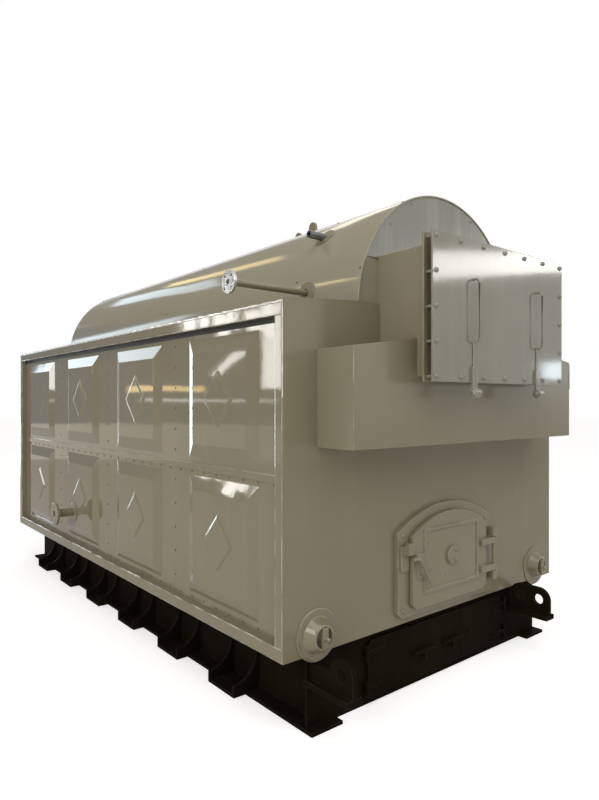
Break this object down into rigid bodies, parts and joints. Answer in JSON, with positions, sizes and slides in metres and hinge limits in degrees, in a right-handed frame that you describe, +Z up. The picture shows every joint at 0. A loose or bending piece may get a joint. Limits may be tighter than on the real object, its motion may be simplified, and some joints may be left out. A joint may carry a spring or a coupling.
{
  "type": "industrial boiler",
  "caption": "Horizontal hand-fired industrial boiler: painted panelled casing, half-round drum jacket, front smoke box, arched fire door and black skid base with ash doors.",
  "frame": {"origin": "on the floor, at the centre of the four anchor holes in the base rails, under the middle of the casing", "axes": "+Z up; -Y towards the firing front; +X to the right seen from the front"},
  "size_m": [2.528, 4.658, 2.687],
  "materials": {
    "casing_paint": "glossy olive-grey enamel",
    "door_paint": "glossy grey enamel, thinly sprayed",
    "base_paint": "glossy black enamel",
    "refractory": "rough refractory brick",
    "dark_iron": "dull dark iron"
  },
  "bodies": {
    "boiler": {"base_rail_left": "base_paint", "base_rail_right": "base_paint", "rail_feet": "base_paint", "ash_pit_floor": "base_paint", "base_front_left": "base_paint", "base_front_right": "base_paint", "base_front_lintel": "base_paint", "base_rear_plate": "base_paint", "tow_lug_left": "base_paint", "tow_lug_right": "base_paint", "front_wall_left": "casing_paint", "front_wall_right": "casing_paint", "front_wall_over": "casing_paint", "front_wall_sill": "casing_paint", "rear_wall": "casing_paint", "furnace_linings": "refractory", "bridge_wall": "refractory", "grate": "dark_iron", "casing_rails": "casing_paint", "casing_posts": "casing_paint", "side_upper_sheets": "casing_paint", "side_lower_sheets": "casing_paint", "top_decks": "casing_paint", "drum": "dark_iron", "drum_jacket": "casing_paint", "jacket_end_front": "casing_paint", "arch_plate": "door_paint", "jacket_end_rear": "casing_paint", "lower_smoke_box": "casing_paint", "smoke_box": "casing_paint", "smoke_box_flange": "casing_paint", "smoke_door_packing": "dark_iron", "smoke_door": "door_paint", "smoke_door_studs": "door_paint", "smoke_door_handles": "door_paint", "smoke_door_clamps": "door_paint", "header_ends": "casing_paint", "header_yokes": "casing_paint", "fire_door_frame": "casing_paint", "fire_door_pin": "casing_paint", "fire_door_keeper": "casing_paint", "ash_hinges": "base_paint", "feed_pipe": "casing_paint", "feed_cover": "casing_paint", "vent_stub": "dark_iron", "drain_stubs": "casing_paint", "flue_outlet": "casing_paint", "crown_lug": "casing_paint"},
    "fire_door": {"fire_door": "casing_paint", "fire_door_damper": "casing_paint", "fire_door_latch": "casing_paint"},
    "ash_door_left": {"ash_door_left": "base_paint", "ash_latches": "base_paint"},
    "ash_door_right": {"ash_door_right": "base_paint"}
  },
  "joints": [
    {"name": "fire_door_hinge", "type": "hinge", "parent": "boiler", "child": "fire_door", "pos_m": [0.385, -2.101, 0.66], "axis": [0, 0, 1], "range_deg": [0, 105]},
    {"name": "ash_door_left_hinge", "type": "hinge", "parent": "boiler", "child": "ash_door_left", "pos_m": [-0.601, -2.036, 0.174], "axis": [0, 0, -1], "range_deg": [0, 100]},
    {"name": "ash_door_right_hinge", "type": "hinge", "parent": "boiler", "child": "ash_door_right", "pos_m": [0.601, -2.036, 0.174], "axis": [0, 0, 1], "range_deg": [0, 90]}
  ]
}
